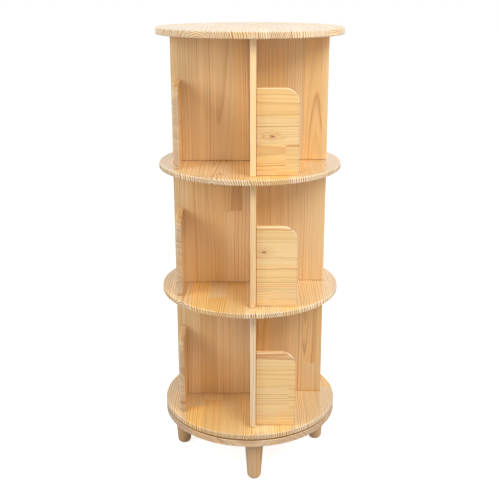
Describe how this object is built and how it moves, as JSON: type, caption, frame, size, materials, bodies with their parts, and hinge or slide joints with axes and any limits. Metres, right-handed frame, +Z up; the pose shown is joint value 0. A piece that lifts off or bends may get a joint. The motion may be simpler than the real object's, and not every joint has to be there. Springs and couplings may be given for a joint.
{
  "type": "revolving display rack",
  "caption": "Free-standing round wooden rack: shelf discs with pinwheel partitions and low stop panels turn on a ring bearing over a fixed legged base.",
  "frame": {"origin": "on the turning axis, in the plane of the four feet", "axes": "+Z up along the turning axis, -Y towards the viewer of the picture, +X to the viewer's right"},
  "size_m": [0.46, 0.46, 1.133],
  "materials": {
    "disc_wood": "light pine, edge-glued from strips, clear satin lacquer",
    "board_wood": "light pine board, clear satin lacquer",
    "leg_wood": "turned light wood, clear satin lacquer",
    "dowel_wood": "raw fluted beech",
    "zinc_steel": "zinc plated",
    "bearing_steel": "pressed steel, lightly oiled"
  },
  "bodies": {
    "base": {"base_disc": "disc_wood", "bearing_lower_ring": "bearing_steel", "leg_front": "leg_wood", "leg_left": "leg_wood", "leg_back": "leg_wood", "leg_right": "leg_wood", "leg_bolt_front": "zinc_steel", "leg_bolt_left": "zinc_steel", "leg_bolt_back": "zinc_steel", "leg_bolt_right": "zinc_steel", "leg_nut_front": "zinc_steel", "leg_nut_left": "zinc_steel", "leg_nut_back": "zinc_steel", "leg_nut_right": "zinc_steel"},
    "carousel": {"top_disc": "disc_wood", "upper_shelf": "disc_wood", "lower_shelf": "disc_wood", "floor_disc": "disc_wood", "lower_partition_front": "board_wood", "lower_partition_left": "board_wood", "lower_partition_back": "board_wood", "lower_partition_right": "board_wood", "middle_partition_front": "board_wood", "middle_partition_left": "board_wood", "middle_partition_back": "board_wood", "middle_partition_right": "board_wood", "upper_partition_front": "board_wood", "upper_partition_left": "board_wood", "upper_partition_back": "board_wood", "upper_partition_right": "board_wood", "lower_stop_front": "board_wood", "lower_stop_left": "board_wood", "lower_stop_back": "board_wood", "lower_stop_right": "board_wood", "middle_stop_front": "board_wood", "middle_stop_left": "board_wood", "middle_stop_back": "board_wood", "middle_stop_right": "board_wood", "upper_stop_front": "board_wood", "upper_stop_left": "board_wood", "upper_stop_back": "board_wood", "upper_stop_right": "board_wood", "top_dowel_front": "dowel_wood", "top_dowel_left": "dowel_wood", "top_dowel_back": "dowel_wood", "top_dowel_right": "dowel_wood", "upper_shelf_dowel_front": "dowel_wood", "upper_shelf_dowel_left": "dowel_wood", "upper_shelf_dowel_back": "dowel_wood", "upper_shelf_dowel_right": "dowel_wood", "lower_shelf_dowel_front": "dowel_wood", "lower_shelf_dowel_left": "dowel_wood", "lower_shelf_dowel_back": "dowel_wood", "lower_shelf_dowel_right": "dowel_wood", "floor_screw_front": "zinc_steel", "floor_screw_left": "zinc_steel", "floor_screw_back": "zinc_steel", "floor_screw_right": "zinc_steel", "bearing_upper_ring": "bearing_steel"},
    "ball_cage": {"bearing_ball_cage": "bearing_steel"}
  },
  "joints": [
    {"name": "carousel_spin", "type": "hinge", "parent": "base", "child": "carousel", "pos_m": [0, 0, 0.134], "axis": [0, 0, 1], "continuous": true},
    {"name": "ball_cage_spin", "type": "hinge", "parent": "base", "child": "ball_cage", "pos_m": [0, 0, 0.134], "axis": [0, 0, 1], "continuous": true}
  ],
  "couplings": [
    {"joint": "ball_cage_spin", "follows": "carousel_spin", "ratio": 0.5}
  ]
}
